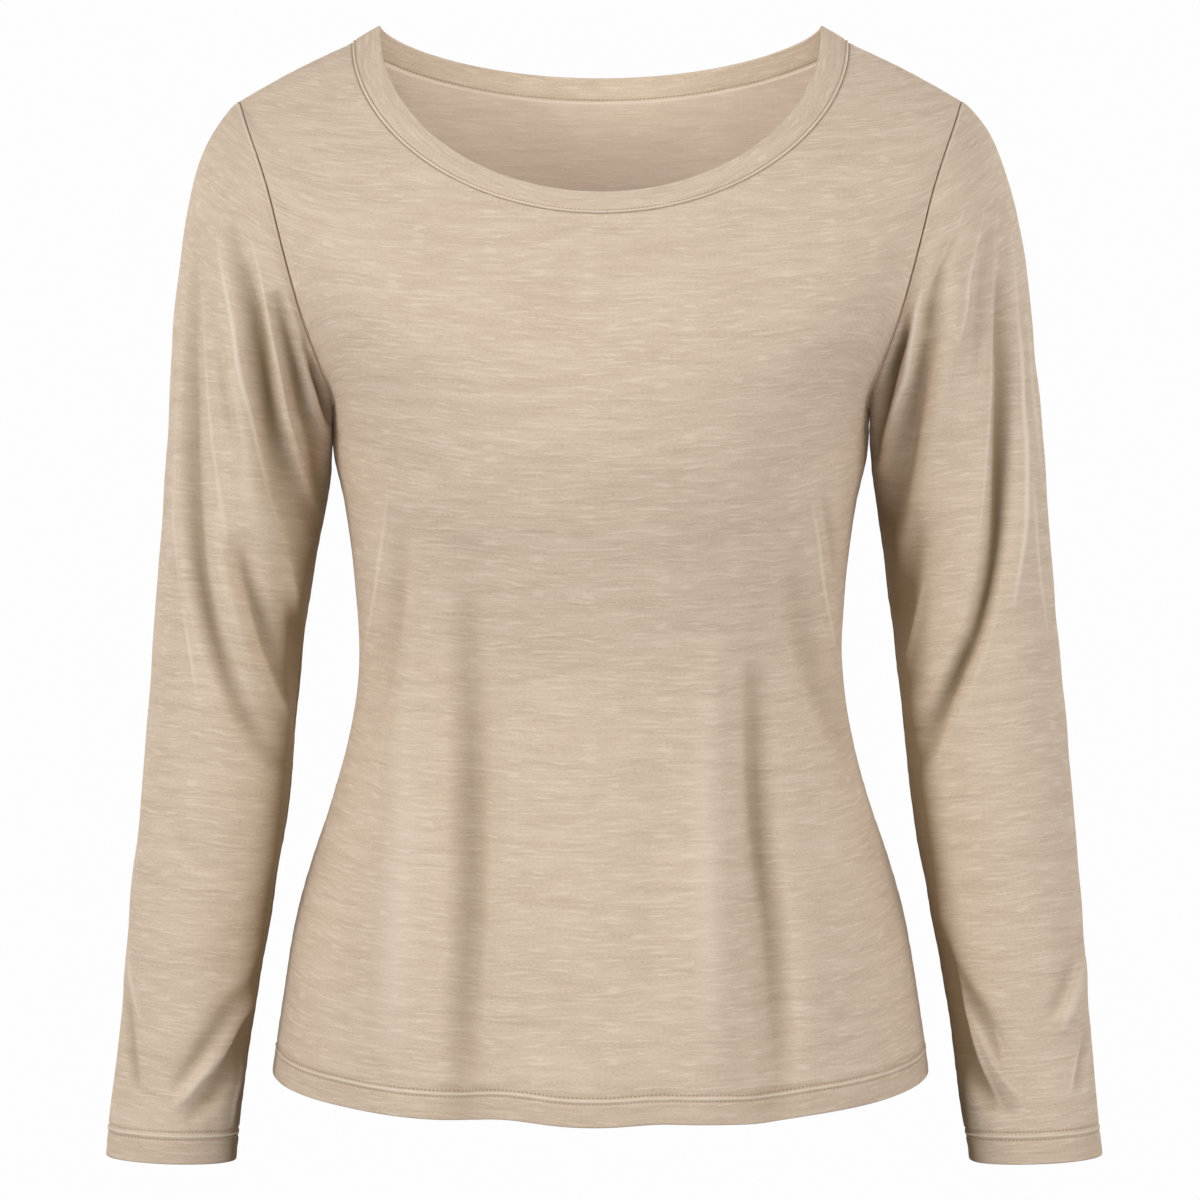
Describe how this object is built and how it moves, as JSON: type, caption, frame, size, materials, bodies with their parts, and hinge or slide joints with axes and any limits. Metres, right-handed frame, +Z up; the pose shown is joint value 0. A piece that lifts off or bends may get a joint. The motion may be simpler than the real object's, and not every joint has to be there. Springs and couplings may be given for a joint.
{
  "type": "long-sleeve top",
  "caption": "Long-sleeve jersey top with a scoop neck and a narrow neckband, held open as if worn, hollow at neck, hem and cuffs.",
  "frame": {"origin": "between the shoulders, at the mean height of the two shoulder seams, where the wearer carries the garment", "axes": "+Z up towards the neck, -Y to the front, +X to the wearer's left"},
  "size_m": [0.5533, 0.2489, 0.634],
  "materials": {
    "slub_jersey": "matte oatmeal heather slub jersey, soft, with fine level streaks",
    "neck_binding": "the same jersey folded double and stitched"
  },
  "bodies": {
    "root": {"front": "slub_jersey", "back": "slub_jersey", "sleeve_left": "slub_jersey", "sleeve_right": "slub_jersey", "neckband": "neck_binding"}
  },
  "joints": []
}
